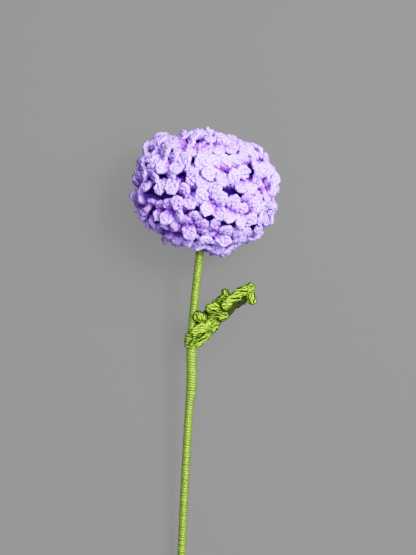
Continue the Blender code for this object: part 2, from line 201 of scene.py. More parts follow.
def cottonYarn(name, look):
    # worked cotton, spun as thin plies twisted together and dyed before it is worked: the twist shows as slanting
    # furrows, in the bump and as painted shade in their grooves, short fibres keep it matt, and the dye is a little
    # uneven from place to place. The colour also carries painted shade, darker towards the core by reach
    mat, tree = newMaterial(name)
    uv = addNode(tree, "ShaderNodeUVMap", {"uv_map": "yarn"})
    parts = addNode(tree, "ShaderNodeSeparateXYZ", links={0: uv.outputs[0]})
    # ply = sin(2 pi (plies * U + V / lay)), the lay being the length of one turn of the plies in mm
    around = addNode(tree, "ShaderNodeMath", {"operation": "MULTIPLY", 1: look["plies"] * 2 * math.pi},
                     {0: parts.outputs[0]})
    along = addNode(tree, "ShaderNodeMath",
                    {"operation": "MULTIPLY_ADD", 1: look["plies"] * 2 * math.pi / look["layMm"]},
                    {0: parts.outputs[1], 2: around.outputs[0]})
    ply = addNode(tree, "ShaderNodeMath", {"operation": "SINE"}, {0: along.outputs[0]})
    place = addNode(tree, "ShaderNodeTexCoord")
    fibre = addNode(tree, "ShaderNodeTexNoise",
                    {"Scale": 1000 / look["fibreMm"], "Detail": 3.0, "Roughness": 0.65},
                    {"Vector": place.outputs["Object"]})
    blotch = addNode(tree, "ShaderNodeTexNoise", {"Scale": 1000 / look["blotchMm"], "Detail": 2.0},
                     {"Vector": place.outputs["Object"]})
    deep = addNode(tree, "ShaderNodeAttribute", {"attribute_name": "reach"})
    ownTone = addNode(tree, "ShaderNodeAttribute", {"attribute_name": "tone"})
    # colour: painted shade, dark at the root and pale at the tip, then the tone attribute (each loop's own random
    # tone plus painted shade), then the soft blotches of the dye
    rise = addNode(tree, "ShaderNodeValToRGB", links={0: deep.outputs["Fac"]})
    while len(rise.color_ramp.elements) < len(look["paintedShadeRamp"]):
        rise.color_ramp.elements.new(1.0)
    for stop, (position, colour) in zip(rise.color_ramp.elements, look["paintedShadeRamp"]):
        stop.position, stop.color = position, linear(colour)
    tone = addNode(tree, "ShaderNodeMix",
                   {"data_type": "RGBA", "blend_type": "MIX", 7: linear(look["shade"])},
                   {6: rise.outputs[0], 0: ownTone.outputs["Fac"]})
    # painted shade: the furrows between the plies are coloured darker
    furrow = addNode(tree, "ShaderNodeMapRange",
                     {"From Min": -1.0, "From Max": -0.5, "To Min": look["grooveShadeShare"], "To Max": 0.0},
                     {"Value": ply.outputs[0]})
    plied = addNode(tree, "ShaderNodeMix",
                    {"data_type": "RGBA", "blend_type": "MIX", 7: linear(look["paintedGrooveShade"])},
                    {6: tone.outputs[2], 0: furrow.outputs[0]})
    patch = addNode(tree, "ShaderNodeMapRange",
                    {"From Min": 0.35, "From Max": 0.7, "To Min": 0.0, "To Max": look["blotchShare"]},
                    {"Value": blotch.outputs[0]})
    upper = addNode(tree, "ShaderNodeMapRange", {"From Min": 0.45, "From Max": 0.9},
                    {"Value": deep.outputs["Fac"]})
    share = addNode(tree, "ShaderNodeMath", {"operation": "MULTIPLY"}, {0: patch.outputs[0], 1: upper.outputs[0]})
    final = addNode(tree, "ShaderNodeMix",
                    {"data_type": "RGBA", "blend_type": "MIX", 7: linear(look["blotch"])},
                    {6: plied.outputs[2], 0: share.outputs[0]})
    height = addNode(tree, "ShaderNodeMath", {"operation": "MULTIPLY_ADD", 1: 0.5},
                     {0: fibre.outputs[0], 2: ply.outputs[0]})
    bump = addNode(tree, "ShaderNodeBump", {"Strength": look["bump"], "Distance": 0.00025},
                   {"Height": height.outputs[0]})
    shader = addNode(tree, "ShaderNodeBsdfPrincipled",
                     {"Roughness": look["roughness"], "IOR": 1.5, "Specular IOR Level": look["specular"],
                      "Specular Tint": linear(look["glint"]), "Sheen Weight": look["sheen"],
                      "Sheen Roughness": 0.5, "Subsurface Weight": look["soft"], "Subsurface Radius": (1.0, 0.7, 1.1),
                      "Subsurface Scale": 0.0012},
                     {"Base Color": final.outputs[2], "Normal": bump.outputs[0]})
    addNode(tree, "ShaderNodeOutputMaterial", links={0: shader.outputs[0]})
    return mat


# the shade ramp is painted shade, darkest at the core's surface and palest at the crests: (reach, colour); the
# groove colour is painted shade in the plies' furrows. The lay is the length of one turn of the plies, blotchMm the
# size of the dye's patches. fibreMm is coarser than a real fibre, which wouldn't show.
lavenderCotton = cottonYarn("lavenderCottonYarn", {
    "plies": 3, "layMm": 7.0, "fibreMm": 0.30,
    "paintedShadeRamp": [(0.34, "#28048a"), (0.62, "#481092"), (0.77, "#8e5cda"), (0.86, "#ae98fa"), (0.98, "#ac9afb")],
    "shade": "#702eb8", "paintedGrooveShade": "#7640c8", "grooveShadeShare": 0.42,
    "blotch": "#c29ef8", "blotchMm": 14.0, "blotchShare": 0.25,
    "bump": 0.70, "roughness": 0.75, "specular": 0.2, "glint": "#f0e4ff", "sheen": 0.04, "soft": 0.06,
})
# wound tight and smooth, so it shines more than the worked yarn; its ramp paints shade into the grooves between turns
greenCotton = cottonYarn("greenCottonYarn", {
    "plies": 4, "layMm": 5.0, "fibreMm": 0.30,
    "paintedShadeRamp": [(0.15, "#121c02"), (0.60, "#344a04"), (0.95, "#4a660c")],
    "shade": "#3e560a", "paintedGrooveShade": "#344a06", "grooveShadeShare": 0.15,
    "blotch": "#5e7822", "blotchMm": 9.0, "blotchShare": 0.3,
    "bump": 0.25, "roughness": 0.43, "specular": 1.0, "glint": "#f2fda8", "sheen": 0.0, "soft": 0.0,
})
# the same green worked loosely, with painted shade: paler crests, near black between the strands
leafCotton = cottonYarn("leafCottonYarn", {
    "plies": 4, "layMm": 4.5, "fibreMm": 0.30,
    "paintedShadeRamp": [(0.10, "#060b00"), (0.38, "#263c04"), (0.62, "#527014"), (0.90, "#94b43c")],
    "shade": "#162404", "paintedGrooveShade": "#162404", "grooveShadeShare": 0.3,
    "blotch": "#88a844", "blotchMm": 7.0, "blotchShare": 0.3,
    "bump": 0.6, "roughness": 0.58, "specular": 0.20, "glint": "#f2ff88", "sheen": 0.0, "soft": 0.0,
})


def drawnSteelWire(name):
    # drawn steel: a bright grey sheen, broken by the fine lengthwise lines that the die leaves, so it is no mirror
    mat, tree = newMaterial(name)
    place = addNode(tree, "ShaderNodeTexCoord")
    stretched = addNode(tree, "ShaderNodeMapping", {"Scale": (1800.0, 60.0, 1800.0)},
                        {"Vector": place.outputs["Object"]})
    lines = addNode(tree, "ShaderNodeTexNoise", {"Scale": 1.0, "Detail": 2.0}, {"Vector": stretched.outputs[0]})
    rough = addNode(tree, "ShaderNodeMapRange", {"To Min": 0.26, "To Max": 0.48}, {"Value": lines.outputs[0]})
    bump = addNode(tree, "ShaderNodeBump", {"Strength": 0.15, "Distance": 0.00002}, {"Height": lines.outputs[0]})
    shader = addNode(tree, "ShaderNodeBsdfPrincipled", {"Base Color": linear("#a9abad"), "Metallic": 1.0},
                     {"Roughness": rough.outputs[0], "Normal": bump.outputs[0]})
    addNode(tree, "ShaderNodeOutputMaterial", links={0: shader.outputs[0]})
    return mat


steelWire = drawnSteelWire("drawnSteelWire")
print("yarn and wire materials made")

# bloom: thick chain loops, each a small plump petal, in ruffled rings round the head's axis
bloom = {
    # the loops' tips: how many, how far apart on the head's surface, and how hard each cause pushes them there
    # the seed is one of at least 17 tried, picked as the one that looked most like the photo
    "seed": 140, "tips": 375, "spacing": 0.0087, "spreadSteps": 40,
    "jitter": 0.06, "push": 0.30, "furrowPush": 0.5, "stemPush": 0.05,
    # rings of the sewn strip, in degrees from the top of the head
    "rings": 11, "firstPolar": 8.0, "lastPolar": 160.0, "ringChoice": 0.04,
    # the head's own surface, with a value each for its upper and lower half
    "loopDepth": 0.0130, "outRadius": 0.0442, "outHalfHeight": (0.0359, 0.0361), "fullness": (2.3, 2.05),
    # where rows part and the dark inside shows, read off the photo: how far the tips keep off in mm, and
    # the line, u and v from the head's middle
    "furrows": [(4.9, [(-0.0162, 0.0213), (-0.0078, 0.0195), (0.0054, 0.0195), (0.015, 0.0207), (0.021, 0.0237)]),
                (4.9, [(-0.018, 0.0105), (-0.0102, 0.0087), (-0.0006, 0.0099)]),
                (4.6, [(0.0084, 0.0123), (0.0198, 0.0105)]),
                (4.9, [(-0.0138, 0.0045), (-0.0084, 0.0009), (-0.0018, -0.0009)]),
                (4.7, [(0.0096, 0.0021), (0.0168, -0.0015), (0.024, -0.0021), (0.03, -0.0051), (0.0366, -0.0087)]),
                (6.4, [(-0.0342, -0.0021), (-0.027, -0.0045), (-0.0186, -0.0045)]),
                (5.7, [(-0.012, -0.0135), (-0.0054, -0.0123), (0.0018, -0.0183), (0.0036, -0.0201)]),
                (4.7, [(0.0198, -0.0051), (0.024, -0.0087), (0.0288, -0.0135), (0.0312, -0.0177)]),
                (4.9, [(0.012, -0.0183), (0.0162, -0.0225), (0.021, -0.0231), (0.03, -0.0231)]),
                (4.9, [(-0.0222, 0.0279), (-0.0204, 0.0243)]),
                (5.2, [(-0.0384, -0.0177), (-0.0336, -0.0141), (-0.0306, -0.0201)]),
                (5.0, [(-0.0348, 0.0177), (-0.0294, 0.0123), (-0.0258, 0.0069)])],
    # furrows act above these w only, and a loop within reach of one stands in line along it and varies less
    "furrowFront": 0.012, "lineFront": 0.008, "furrowReach": 0.0050, "evenLength": 0.7, "evenWidth": 0.6,
    # a loop's curl: degrees, how late it comes, steps, how far past the tip it holds, where the tip's place counts
    "bend": 80.0, "bendRange": 42.0, "curl": 2.2, "curlSteps": 64, "tipReach": 1.6, "tipAt": 0.9,
    # how much its length, way, roll and twist vary, then the room between its two sides, and the root's share of it
    "lengthRange": 0.15, "drift": 0.8, "roll": 0.35, "twist": 0.5,
    "loopGap": 0.0039, "gapMean": 1.05, "gapRange": 0.22, "waist": 0.50,
    # the way to the head's lower left, where loops stand straighter: from where, over how far, by how much
    "openWay": (-0.78, -0.63), "openFrom": 0.42, "openOver": 0.35, "openShare": 0.45,
    # its chain of stitches, and the flat strands carried inside the chain
    "stitches": 8, "stepsPerStitch": 8, "sides": 6, "plump": 0.16,
    "yarnRadius": 0.00126, "legSpread": 0.00112, "legDepth": 0.00068, "legReach": 0.0042,
    "heartSteps": 12, "heartSides": 8, "heartEdge": 0.0006, "heartSqueeze": 0.50,
    # how far towards the darker violet: each loop's own random share, then painted shade on the flanks of a yarn and
    # on the strands inside
    "toneShare": 0.25, "flankShade": 0.72, "heartShade": 0.40,
    # the soft head is pressed flat where it lies: below this height, to this height, and how softly
    "pressBelow": 0.012, "pressTo": 0.0006, "pressSoft": 0.0011,
    # the sewn strip inside the head
    "coreRows": 28, "coreColumns": 56, "coreRaise": 0.0004, "coreFurrow": 0.0004, "coreTurns": 24,
    # the loops are three pieces, parted at these angles from the top, in radians
    "bandEdges": (0.95, 1.75),
}
headAxis = np.array([math.sin(flower["headLean"]), math.cos(flower["headLean"]), 0.0])
ringAxis = np.array([math.sin(flower["ringLean"]), math.cos(flower["ringLean"]), 0.0])
furrowPieces = [(keepOff / 1000, np.array(start, float), np.array(end, float))
                for keepOff, line in bloom["furrows"] for start, end in zip(line[:-1], line[1:])]


def headReach(directions, radius, halfHeight, power=2.0):
    # r = 1 / (|along / c|^n + |across / a|^n)^(1/n): n = 2 is the sewn core, a little more the fuller head round it
    along = dot(directions, headAxis)
    across = np.sqrt(np.maximum(1 - along**2, 0))
    return (np.abs(along / halfHeight) ** power + (across / radius) ** power) ** (-1 / power)


def coreReach(directions, extra=0.0):
    # the sewn core: the head's half sizes less the depth of the loops
    inset = bloom["loopDepth"] - extra
    return headReach(directions, flower["headRadius"] - inset, flower["headHalfHeight"] - inset)


def outerReach(directions):
    # the head's own surface: fuller above its middle than below it, where it draws in towards the stem
    upper = dot(directions, headAxis) > 0
    half = np.where(upper, bloom["outHalfHeight"][0], bloom["outHalfHeight"][1])
    return headReach(directions, bloom["outRadius"], half, np.where(upper, bloom["fullness"][0], bloom["fullness"][1]))


def settled(points):
    # a point near the floor is pressed: h' = soft * ln(1 + e^((h - pressTo) / soft))
    soft = bloom["pressSoft"]
    h = flower["headRise"] + (points - headCentre) @ floorNormal
    pressed = soft * np.logaddexp(0, (h - bloom["pressTo"]) / soft)
    return points + floorNormal * np.where(h < bloom["pressBelow"], pressed - h, 0.0)[..., None]


def fromFurrow(spots, start, end):
    # seen from above, the way from the nearest point of a straight piece of furrow to each spot, and its length
    along = np.clip(((spots[:, :2] - start) @ (end - start)) / np.sum((end - start) ** 2), 0, 1)
    away = spots[:, :2] - (start + along[:, None] * (end - start))
    return away, np.linalg.norm(away, axis=1)


def spreadTips():
    # points on a golden spiral with a seeded jitter, each then pushed, step by step, from neighbours nearer than
    # the spacing and from the dark furrows
    rng = np.random.default_rng(bloom["seed"])
    side = np.array([math.cos(flower["ringLean"]), -math.sin(flower["ringLean"]), 0.0])
    front = np.array([0.0, 0.0, 1.0])
    k = np.arange(bloom["tips"])
    lowest = math.cos(math.radians(bloom["lastPolar"]))
    height = 1 - (k + 0.5) / bloom["tips"] * (1 - lowest)
    turn = k * math.pi * (3 - math.sqrt(5))
    ring = side * np.cos(turn)[:, None] + front * np.sin(turn)[:, None]
    tips = ringAxis * height[:, None] + np.sqrt(1 - height**2)[:, None] * ring
    tips = unit(tips + bloom["jitter"] * rng.normal(size=tips.shape))
    for _ in range(bloom["spreadSteps"]):
        spots = tips * outerReach(tips)
        gap = spots[:, None] - spots[None]
        far = np.linalg.norm(gap, axis=-1) + np.eye(len(spots))
        push = np.clip(bloom["spacing"] - far, 0, None) * (1 - np.eye(len(spots)))
        spots = spots + bloom["push"] * np.sum(gap / far[..., None] * push[..., None], axis=1)
        for keepOff, start, end in furrowPieces:
            away, off = fromFurrow(spots, start, end)
            near = np.clip(keepOff - off, 0, None) * (spots[:, 2] > bloom["furrowFront"])
            spots[:, :2] += bloom["furrowPush"] * away / np.maximum(off, 1e-6)[:, None] * near[:, None]
        tips = unit(spots)
        low = tips @ ringAxis < lowest
        tips[low] = unit(tips[low] + ringAxis * bloom["stemPush"])
    # the way from each tip to the nearest furrow, and 1 beside it falling to 0 further off
    spots = tips * outerReach(tips)
    best, toFurrow = np.full(len(spots), 1.0), np.zeros((len(spots), 3))
    for keepOff, start, end in furrowPieces:
        away, off = fromFurrow(spots, start, end)
        off = np.where(spots[:, 2] > bloom["lineFront"], off - keepOff, 1.0)
        nearer = off < best
        best = np.where(nearer, off, best)
        toFurrow[nearer, :2] = -away[nearer]
    beside = np.clip((bloom["furrowReach"] - best) / bloom["furrowReach"] * 2, 0, 1)[:, None]
    polar = np.arccos(np.clip(tips @ ringAxis, -1, 1))[:, None]
    return tips, polar, unit(toFurrow + 1e-9), beside, rng.uniform(-1, 1, (len(tips), 8))


def loopFrames():
    # each loop stands on a ring of the sewn strip and its end curls over towards its tip's own place
    tips, polar, toFurrow, beside, draw = spreadTips()
    size, roll, sway, drift, twist, wide, tone, choice = (draw[:, i:i + 1] for i in range(8))
    rings = np.radians(np.linspace(bloom["firstPolar"], bloom["lastPolar"], bloom["rings"]))
    nearest = rings[np.argmin(np.abs(polar - rings[None]), axis=1)][:, None]
    down = unit(tips * dot(tips, ringAxis) - ringAxis)
    ringWay = unit(np.cross(tips, down))
    way = np.where(polar + bloom["ringChoice"] * choice > nearest, 1.0, -1.0)
    bendTo = unit(down * way + ringWay * bloom["drift"] * drift)
    bendTo = unit(bendTo * (1 - beside) + unit(toFurrow - tips * dot(toFurrow, tips)) * beside)
    # beside a furrow the loops stand evenly in line, as a finished edge of the strip does
    size, twist = size * (1 - bloom["evenLength"] * beside), twist * (1 - beside)
    wide, sway = wide * (1 - bloom["evenWidth"] * beside), sway * (1 - bloom["evenWidth"] * beside)
    bend = np.radians(bloom["bend"] + bloom["bendRange"] * sway)
    # at the lower left the loops stand a little straighter, like fingers
    lowerLeft = tips[:, :1] * bloom["openWay"][0] + tips[:, 1:2] * bloom["openWay"][1]
    opened = np.clip((lowerLeft - bloom["openFrom"]) / bloom["openOver"], 0, 1)
    bend = bend * (1 - bloom["openShare"] * opened)
    gap = bloom["loopGap"] * (bloom["gapMean"] + bloom["gapRange"] * wide)
    # its length lifts its highest point to the head's surface: room / highest running sum of cos(bend s^curl)
    s = np.linspace(0, 1, 33)[None]
    outRun = np.cumsum(np.cos(bend * s ** bloom["curl"]), axis=1)
    highest = np.max(outRun, axis=1, keepdims=True) / s.size
    tipAt = bloom["tipAt"]
    sideRun = np.mean(np.sin(bend * (tipAt * s) ** bloom["curl"]), axis=1, keepdims=True) * tipAt
    over = ((bloom["legDepth"] + bloom["yarnRadius"]) * np.sin(np.minimum(bend, np.pi / 2))
            + (gap / 2 + bloom["legSpread"] + bloom["yarnRadius"]) * np.maximum(np.cos(bend), 0))
    room = outerReach(tips) - coreReach(tips)
    length = (room * (1 + bloom["lengthRange"] * size) - over) / highest
    direction = unit(tips * outerReach(tips) - bendTo * length * sideRun)
    bendTo = unit(bendTo - direction * dot(bendTo, direction))
    across = unit(np.cross(direction, bendTo))
    flat = unit(across * np.cos(bloom["roll"] * roll) + bendTo * np.sin(bloom["roll"] * roll))
    root = headCentre + direction * coreReach(direction)
    return [root, direction, bendTo, bend, flat, length, bloom["twist"] * twist, gap, 0.5 + 0.5 * tone, polar]


def curledLine(frames, look, reach):
    # middle line of a loop: its heading turns by bend s^curl from root to tip, and its points are the running sum of it
    root, start, bendTo, bend, flat, length, twist, gap = frames
    steps = look["curlSteps"]
    heading = bend * np.linspace(0, 1, steps + 1)[None] ** look["curl"]

    def runningMean(values):
        # running sum of a value at each step from the root, by the trapezium rule, as a share of the length
        between = np.cumsum((values[:, 1:] + values[:, :-1]) / (2 * steps), axis=1)
        return np.concatenate([np.zeros_like(bend), between], axis=1)

    share = np.clip(reach / length, 0, look["tipReach"])
    cell = np.clip((share * steps).astype(int), 0, steps - 1)
    part = share * steps - cell

    def atShare(values):
        # the value between the two nearest steps: low (1 - part) + high part
        low, high = np.take_along_axis(values, cell, 1), np.take_along_axis(values, cell + 1, 1)
        return (low * (1 - part) + high * part)[..., None]

    outRun, overRun = atShare(runningMean(np.cos(heading))), atShare(runningMean(np.sin(heading)))
    share = share[..., None]
    outWay, overWay, flatWay = start[:, None], bendTo[:, None], flat[:, None]
    sideWay = np.cross(outWay, overWay)
    angle = bend[:, None] * np.minimum(share, 1) ** look["curl"]
    middle = root[:, None] + length[:, None] * (outWay * outRun + overWay * overRun)
    ahead = outWay * np.cos(angle) + overWay * np.sin(angle)
    leaned = overWay * np.cos(angle) - outWay * np.sin(angle)
    sideways = sideWay * dot(flatWay, sideWay) + dot(flatWay, overWay) * leaned
    face = np.cross(ahead, sideways)
    spin = twist[:, None] * share
    turned = sideways * np.cos(spin) + face * np.sin(spin)
    return middle, ahead, turned, face * np.cos(spin) - sideways * np.sin(spin)


def loopYarn(frames, look):
    # one yarn chained into a hairpin: out along one side, half a circle round the tip, back along the other
    # its soft plies swell at the side of each stitch and are nipped where legs cross: r (1 - p + 2 p |across|)
    length, gap = frames[5], frames[7]
    base, rise, across, depth = (x[None] for x in chainPath(look["stitches"], look["stepsPerStitch"]))
    total = 2 * length + np.pi * gap / 2
    run = base / look["stitches"] * (total - look["legReach"]) + look["legReach"] * rise
    turn = np.clip((run - length) / (gap / 2), 0, np.pi)
    back = np.where(turn >= np.pi, total - run, length + gap / 2 * np.sin(turn))
    reach = np.where(run < length, run, back)
    offset = -gap / 2 * np.cos(turn) * (look["waist"] + (1 - look["waist"]) * np.clip(reach / length, 0, 1))
    middle, ahead, sideways, face = curledLine(frames, look, reach)
    turn = turn[..., None]
    lateral = sideways * np.cos(turn) - ahead * np.sin(turn)
    centres = (middle + sideways * offset[..., None] + lateral * (across * look["legSpread"])[..., None]
               + face * (depth * look["legDepth"])[..., None])
    swell = 1 - look["plump"] + 2 * look["plump"] * np.abs(across)
    return yarnTubes(centres, face, look["yarnRadius"] * swell, look["sides"])


def loopHeart(frames, look):
    # the strands carried inside the chain, as one flat tube that is round at the tip:
    # half width = gap / 2 (waist + (1 - waist) s) sqrt(1.02 - s^6) + edge
    length, gap = frames[5], frames[7]
    s = np.sin(np.linspace(0, math.pi / 2, look["heartSteps"]))[None]
    middle, ahead, sideways, face = curledLine(frames, look, s * (length + gap / 2))
    width = gap / 2 * (look["waist"] + (1 - look["waist"]) * s) * np.sqrt(np.clip(1.02 - s**6, 0, 1))
    return yarnTubes(middle, face, width + look["heartEdge"], look["heartSides"], look["heartSqueeze"])


def petalLoops():
    # yarn and inner strands of all the loops, with two values at each point
    # reach: 0 at the core's surface, 1 at the head's own surface; the colour ramp makes it painted shade, darkest near
    # the core
    # tone: each loop's random tone, plus painted shade on the flanks of a yarn and on the strands inside, where less
    # light gets
    *frames, tone, polar = loopFrames()
    ownTone = (tone * bloom["toneShare"])[..., None]
    flank = (1 - np.abs(np.cos(2 * np.pi * np.arange(bloom["sides"]) / bloom["sides"]))) ** 2.0
    made = []
    for rings, paintedShade in ((loopYarn(frames, bloom), bloom["flankShade"] * flank),
                          (loopHeart(frames, bloom), bloom["heartShade"])):
        away = rings - headCentre
        way = unit(away)
        core = coreReach(way)
        reachOut = (np.linalg.norm(away, axis=-1) - core[..., 0]) / (outerReach(way) - core)[..., 0]
        made.append((toFloor(settled(rings)), {"reach": reachOut, "tone": ownTone + paintedShade}))
    return made, polar[:, 0]


def coreWinding():
    # the sewn strip inside the head: an ellipsoid grid with low furrows, deep in the shade and painted with the
    # ramp's darkest colour as painted shade
    polar = np.linspace(0.02, np.pi - 0.02, bloom["coreRows"])[:, None]
    turn = np.linspace(0, 2 * np.pi, bloom["coreColumns"], endpoint=False)[None]
    ring = np.sin(polar)
    direction = np.stack([ring * np.cos(turn), np.cos(polar) + 0 * turn, ring * np.sin(turn)], axis=-1)
    furrow = bloom["coreFurrow"] * np.sin(bloom["coreTurns"] * polar + turn)[..., None]
    points = headCentre + direction * (coreReach(direction, bloom["coreRaise"]) + furrow)
    return toFloor(settled(points))[None]


((rings, values), (heartRings, heartValues)), polar = petalLoops()
low, high = bloom["bandEdges"]
bands = {"loopsTop": polar < low, "loopsMiddle": (polar >= low) & (polar < high), "loopsLow": polar >= high}
bloomPieces = []
for name, pick in bands.items():
    piece = yarnMesh(name, rings[pick], {label: value[pick] for label, value in values.items()})
    bloomPieces.append(piece)
    print(name, int(pick.sum()), "loops,", sum(len(p.vertices) - 2 for p in piece.data.polygons), "triangles")
bloomPieces.append(yarnMesh("loopHearts", heartRings, heartValues))
coreRings = coreWinding()
# reach and tone 0: the darkest painted shade
coreValue = np.zeros(coreRings.shape[:2])
bloomPieces.append(yarnMesh("coreWinding", coreRings, {"reach": coreValue, "tone": coreValue}))
for piece in bloomPieces:
    piece.data.materials.append(lavenderCotton)
    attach(piece, "root")
    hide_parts("bloom")
print("bloom made")

# stem: one yarn wound round the wire from the cut to the head
stem = {
    # its middle line, u and v
    "line": [(-0.0175, -0.1800), (-0.0156, -0.1350), (-0.0138, -0.0950), (-0.0120, -0.0550), (-0.0099, -0.0150),
             (-0.0078, 0.0200), (-0.0076, 0.0440), (-0.0054, 0.0700), (-0.0026, 0.0960), (-0.0004, 0.1180),
             (0.0004, 0.1290)],
    # the yarn as it is wound: from and to v, the pitch of a turn, how far out it reaches, half its width and thickness
    "winding": {"low": flower["stemEnd"], "high": 0.1115, "pitch": 0.00150, "radius": flower["wrapRadius"],
                "halfWidth": 0.00112, "halfThick": 0.00032, "stepsPerTurn": 14, "sides": 6, "phase": 0.0,
                "bulge": 0.00125},
    # the layer under it, seen only where the stem is cut: it fills the room between wire and winding
    "firstLayer": {"low": flower["stemEnd"], "high": flower["stemEnd"] + 0.009, "pitch": 0.00150, "radius": 0.0020,
                   "halfWidth": 0.00112, "halfThick": 0.00050, "stepsPerTurn": 14, "sides": 6, "phase": 0.0,
                   "bulge": 0.0},
    # the thick stretch that the leaf's wire makes: between these v, with a fade at each end
    "bulgeLow": 0.0095, "bulgeTop": 0.0465, "bulgeRise": 0.0065, "bulgeFall": 0.004,
    # a hand's unevenness: of a turn's place as a share of the pitch, of its reach in metres, of its colour
    "seed": 5, "pitchNoise": 0.20, "reachNoise": 0.00007, "reachEvery": 5, "toneEvery": 20, "toneShare": 0.5,
    # the hidden first layer is painted darker, as painted shade inside the cut end
    "hiddenShade": 0.6,
}
stemLine = smoothLine(stem["line"], 12)


def smoothNoise(count, every, rng):
    # random values every so many steps, joined by smooth steps s^2 (3 - 2 s)
    knots = rng.uniform(-1, 1, count // every + 3)
    x = np.arange(count) / every
    cell = x.astype(int)
    part = (x - cell) ** 2 * (3 - 2 * (x - cell))
    return knots[cell] * (1 - part) + knots[cell + 1] * part


def bulgeAt(v, height):
    # the thick stretch under the leaf: an extra layer that fades in and out as s^2 (3 - 2 s)
    rise = np.clip((v - stem["bulgeLow"]) / stem["bulgeRise"], 0, 1)
    fall = np.clip((stem["bulgeTop"] + stem["bulgeFall"] - v) / stem["bulgeFall"], 0, 1)
    s = np.minimum(rise, fall)
    return height * s * s * (3 - 2 * s)


def windingRound(look, rng):
    # helix round the stem's line: centre (u(v), v, 0) + R (cos a, 0, sin a), a growing one turn for each pitch of v
    low, high, thick = look["low"], look["high"], look["halfThick"]
    steps = int((high - low) / look["pitch"] * look["stepsPerTurn"])
    angle = look["phase"] + 2 * np.pi * np.arange(steps) / look["stepsPerTurn"]
    uneven = look["pitch"] * stem["pitchNoise"] * smoothNoise(steps, look["stepsPerTurn"], rng)
    v = np.clip(low + (high - low) * np.arange(steps) / (steps - 1) + uneven, low, high)
    middle = np.stack([np.interp(v, stemLine[:, 1], stemLine[:, 0]), v, 0 * v], axis=-1)
    slope = np.interp(v, stemLine[:, 1], np.gradient(stemLine[:, 0], stemLine[:, 1]))
    right = unit(np.stack([1 + 0 * v, -slope, 0 * v], axis=-1))
    outward = right * np.cos(angle)[:, None] + np.array([0, 0, 1.0]) * np.sin(angle)[:, None]
    # the leaf's wire lies on the side towards the leaf, so the bulge is on that side only
    extra = bulgeAt(v, look["bulge"]) * np.maximum(np.cos(angle), 0) ** 1.5
    reach = look["radius"] - thick + extra + stem["reachNoise"] * smoothNoise(steps, stem["reachEvery"], rng)
    centres = middle + outward * reach[:, None]
    squeeze = thick / look["halfWidth"]
    rings = yarnTubes(centres[None], outward[None], look["halfWidth"], look["sides"], squeeze)
    # reach for the colour ramp: 0 between the turns, 1 on a crest, so the grooves get painted shade
    away = np.linalg.norm(rings - middle[None, :, None], axis=-1)
    grooveShadeReach = np.clip((away - (reach - thick)[None, :, None]) / (2 * thick), 0, 1)
    return toFloor(rings), grooveShadeReach


rng = np.random.default_rng(stem["seed"])
wrapRings, wrapReach = windingRound(stem["winding"], rng)
wrapTone = (0.5 + 0.5 * smoothNoise(wrapRings.shape[1], stem["toneEvery"], rng))[None]
wrap = yarnMesh("stemWinding", wrapRings, {"reach": wrapReach, "tone": wrapTone * stem["toneShare"]})
underRings, underReach = windingRound(stem["firstLayer"], np.random.default_rng(stem["seed"]))
underShade = np.full(underRings.shape[:2], stem["hiddenShade"])
under = yarnMesh("stemFirstLayer", underRings, {"reach": underReach, "tone": underShade})
for piece in (wrap, under):
    piece.data.materials.append(greenCotton)
    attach(piece, "root")
    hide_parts("stem_wrap")
print("stem wound,", wrapRings.shape[1], "steps")

